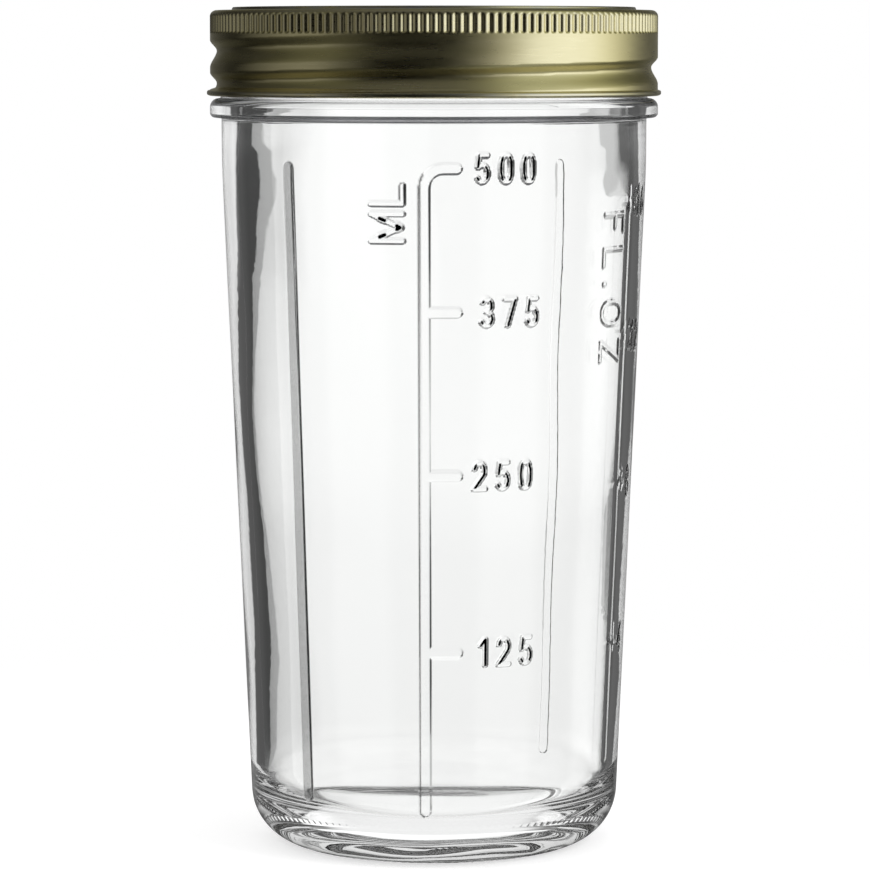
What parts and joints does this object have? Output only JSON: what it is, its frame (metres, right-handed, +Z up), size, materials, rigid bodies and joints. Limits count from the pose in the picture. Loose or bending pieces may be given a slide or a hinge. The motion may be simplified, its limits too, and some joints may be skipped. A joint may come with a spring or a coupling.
{
  "type": "sourdough starter jar",
  "caption": "Tapered clear glass jar with a thick rounded heel, raised measuring scale and threaded neck, closed by a flat sealed disc under a rolled gold screw band.",
  "frame": {"origin": "on the jar's axis, in the plane of the foot ring that it stands on", "axes": "+Z up along the jar's axis, the millilitre scale faces -Y, +X to the right of it"},
  "size_m": [0.0892, 0.0892, 0.1649],
  "materials": {
    "clear_glass": "fire polished pressed glass",
    "gold_lacquered_tinplate": "satin champagne gold lacquer",
    "gold_disc_tinplate": "satin champagne gold lacquer",
    "sealing_compound": "matte soft compound"
  },
  "bodies": {
    "jar": {"glass_jar": "clear_glass"},
    "lid": {"lid_disc": "gold_disc_tinplate", "seal_ring": "sealing_compound"},
    "band": {"screw_band": "gold_lacquered_tinplate"}
  },
  "joints": [
    {"name": "lid_lift", "type": "slide", "parent": "jar", "child": "lid", "axis": [0, 0, 1], "range_m": [0, 0.0191]},
    {"name": "band_turn", "type": "hinge", "parent": "lid", "child": "band", "pos_m": [0, 0, 0.155], "axis": [0, 0, 1], "range_deg": [0, 1080]}
  ],
  "couplings": [
    {"joint": "lid_lift", "follows": "band_turn", "m_per_rad": 0.0010106}
  ]
}
